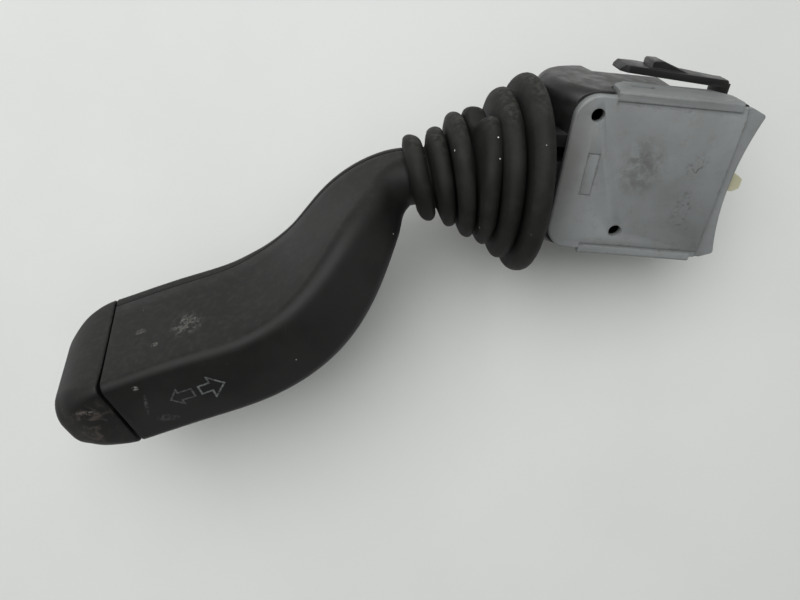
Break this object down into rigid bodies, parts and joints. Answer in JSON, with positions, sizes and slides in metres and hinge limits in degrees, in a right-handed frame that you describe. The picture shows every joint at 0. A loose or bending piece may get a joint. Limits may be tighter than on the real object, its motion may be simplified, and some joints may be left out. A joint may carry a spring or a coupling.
{
  "type": "column stalk switch",
  "caption": "Turn signal and dip stalk: curved flat handle with end cap, rubber bellows boot, and a snap-in switch body with grey cover, latch arms and cancel pawl.",
  "frame": {"origin": "on the lever axis where it crosses the plane of the boot's sealing flange", "axes": "+X inboard along the switch body's insertion direction, +Z out of the grey cover, +Y towards the other latch arm; the handle reaches to -X and -Y"},
  "size_m": [0.1621, 0.0909, 0.0673],
  "materials": {
    "handle_plastic": "fine grain, worn satin",
    "rubber": "dusty matte",
    "grey_plastic": "matte, lightly soiled",
    "black_plastic": "semi-matte",
    "natural_plastic": "natural, slightly translucent",
    "stem_plastic": "glass-filled, matte",
    "brass": "stamped, plain",
    "steel": "drawn"
  },
  "bodies": {
    "switch_body": {"housing": "black_plastic", "cover": "grey_plastic", "bearing_plate": "natural_plastic", "terminal_base": "black_plastic", "blade_terminals": "brass", "fixed_contacts": "brass", "detent_track": "natural_plastic", "pawl_pin": "steel", "pawl_spring": "steel", "boot": "rubber"},
    "swivel": {"swivel_carrier": "natural_plastic", "beam_pin": "steel"},
    "lever": {"lever_stem": "stem_plastic", "beam_return_spring": "steel", "detent_spring": "steel", "front_shell": "handle_plastic", "rear_shell": "handle_plastic", "end_cap": "handle_plastic"},
    "plunger": {"detent_plunger": "steel"},
    "turn_slide_block": {"turn_slider": "natural_plastic", "turn_brushes": "brass", "turn_brush_springs": "steel"},
    "beam_slide_block": {"beam_slider": "natural_plastic", "beam_brushes": "brass", "beam_brush_springs": "steel"},
    "pawl": {"cancel_pawl": "natural_plastic"}
  },
  "joints": [
    {"name": "turn", "type": "hinge", "parent": "switch_body", "child": "swivel", "pos_m": [0.018, 0, 0], "axis": [0, 0, 1], "range_deg": [-13, 13], "deforming": ["boot"]},
    {"name": "beam", "type": "hinge", "parent": "swivel", "child": "lever", "pos_m": [0.018, 0, 0], "axis": [-0.1444, 0.9895, 0], "range_deg": [-5, 7], "stiffness_Nm_per_rad": 3, "springref_deg": 0.46, "deforming": ["boot", "beam_return_spring"]},
    {"name": "detent", "type": "slide", "parent": "lever", "child": "plunger", "axis": [0.9895, 0.1444, 0], "range_m": [0, 0.0005], "stiffness_N_per_m": 400, "springref_m": 0.0004, "deforming": ["detent_spring"]},
    {"name": "turn_contact", "type": "slide", "parent": "switch_body", "child": "turn_slide_block", "axis": [0, 1, 0], "range_m": [-0.0023, 0.0023]},
    {"name": "beam_contact", "type": "slide", "parent": "switch_body", "child": "beam_slide_block", "axis": [1, 0, 0], "range_m": [-0.0018, 0.0013]},
    {"name": "cancel", "type": "hinge", "parent": "switch_body", "child": "pawl", "pos_m": [0.043, 0.0005, 0], "axis": [0, 0, 1], "range_deg": [-15, 15], "stiffness_Nm_per_rad": 0.03, "deforming": ["pawl_spring"]}
  ],
  "couplings": [
    {"joint": "turn_contact", "follows": "turn", "m_per_rad": 0.0097},
    {"joint": "beam_contact", "follows": "beam", "m_per_rad": -0.01366}
  ]
}
